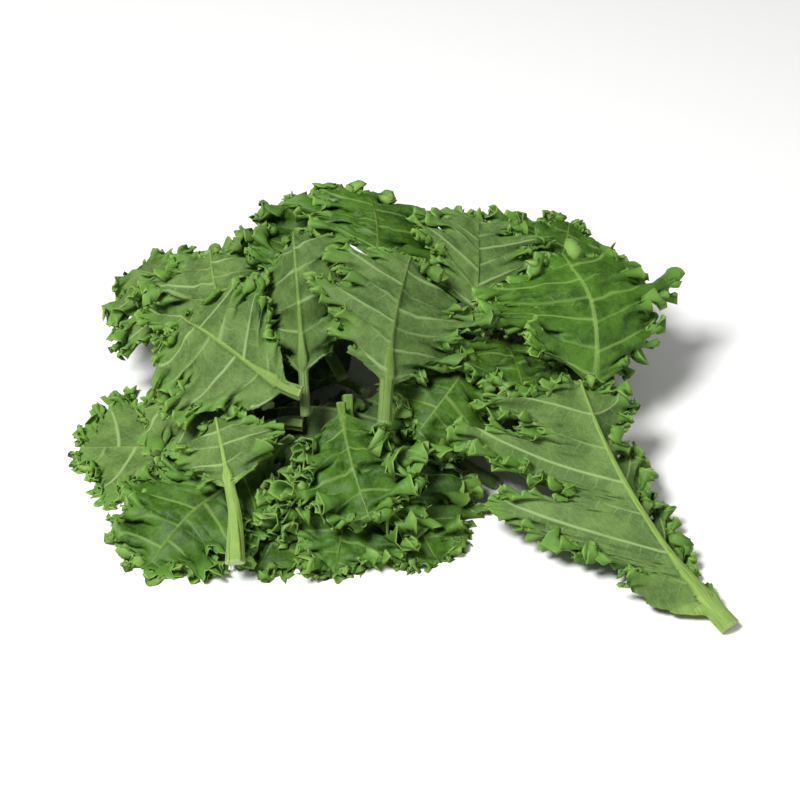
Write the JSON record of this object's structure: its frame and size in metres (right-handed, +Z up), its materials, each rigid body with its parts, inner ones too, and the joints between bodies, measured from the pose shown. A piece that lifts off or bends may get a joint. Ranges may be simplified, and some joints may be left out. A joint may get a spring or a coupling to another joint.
{
  "type": "kale bunch",
  "caption": "Loose heap of whole curly kale leaves with frilled lobed blades, pale midribs and cut petioles, lying on a surface.",
  "frame": {"origin": "on the surface that the bunch lies on, under the middle of its bounding box", "axes": "+Z up from that surface; +X along the heap's longest extent, towards the side where the large front leaf lies; -Y is the front, from where the picture was taken"},
  "size_m": [0.3682, 0.3019, 0.1138],
  "materials": {
    "leaf_upper_side": "satin, slightly waxy, deep green",
    "leaf_underside": "matte, paler grey-green with raised veins"
  },
  "bodies": {
    "root": {"leaf_heart_across": "leaf_underside", "leaf_back_low_left": "leaf_upper_side", "leaf_back_low_right": "leaf_upper_side", "leaf_right_low": "leaf_underside", "leaf_left_low": "leaf_underside", "leaf_front_dark": "leaf_upper_side", "leaf_front_fan": "leaf_underside", "leaf_front_left": "leaf_upper_side", "leaf_front_right": "leaf_upper_side", "leaf_front_middle": "leaf_upper_side", "leaf_rear_left": "leaf_upper_side", "leaf_rear_right": "leaf_underside", "leaf_rear_middle": "leaf_upper_side", "leaf_front_curly": "leaf_upper_side", "leaf_middle_curly": "leaf_upper_side", "leaf_middle_right": "leaf_upper_side", "leaf_left_middle": "leaf_underside", "leaf_cut_stem": "leaf_underside", "leaf_left_fan": "leaf_underside", "leaf_back_left": "leaf_underside", "leaf_back_right": "leaf_upper_side", "leaf_back_top": "leaf_upper_side", "leaf_back_middle": "leaf_upper_side", "leaf_back_right_middle": "leaf_underside", "leaf_right": "leaf_upper_side", "leaf_upright_folded": "leaf_underside", "leaf_left_top": "leaf_underside", "leaf_middle": "leaf_underside", "leaf_front_large": "leaf_underside"}
  },
  "joints": []
}
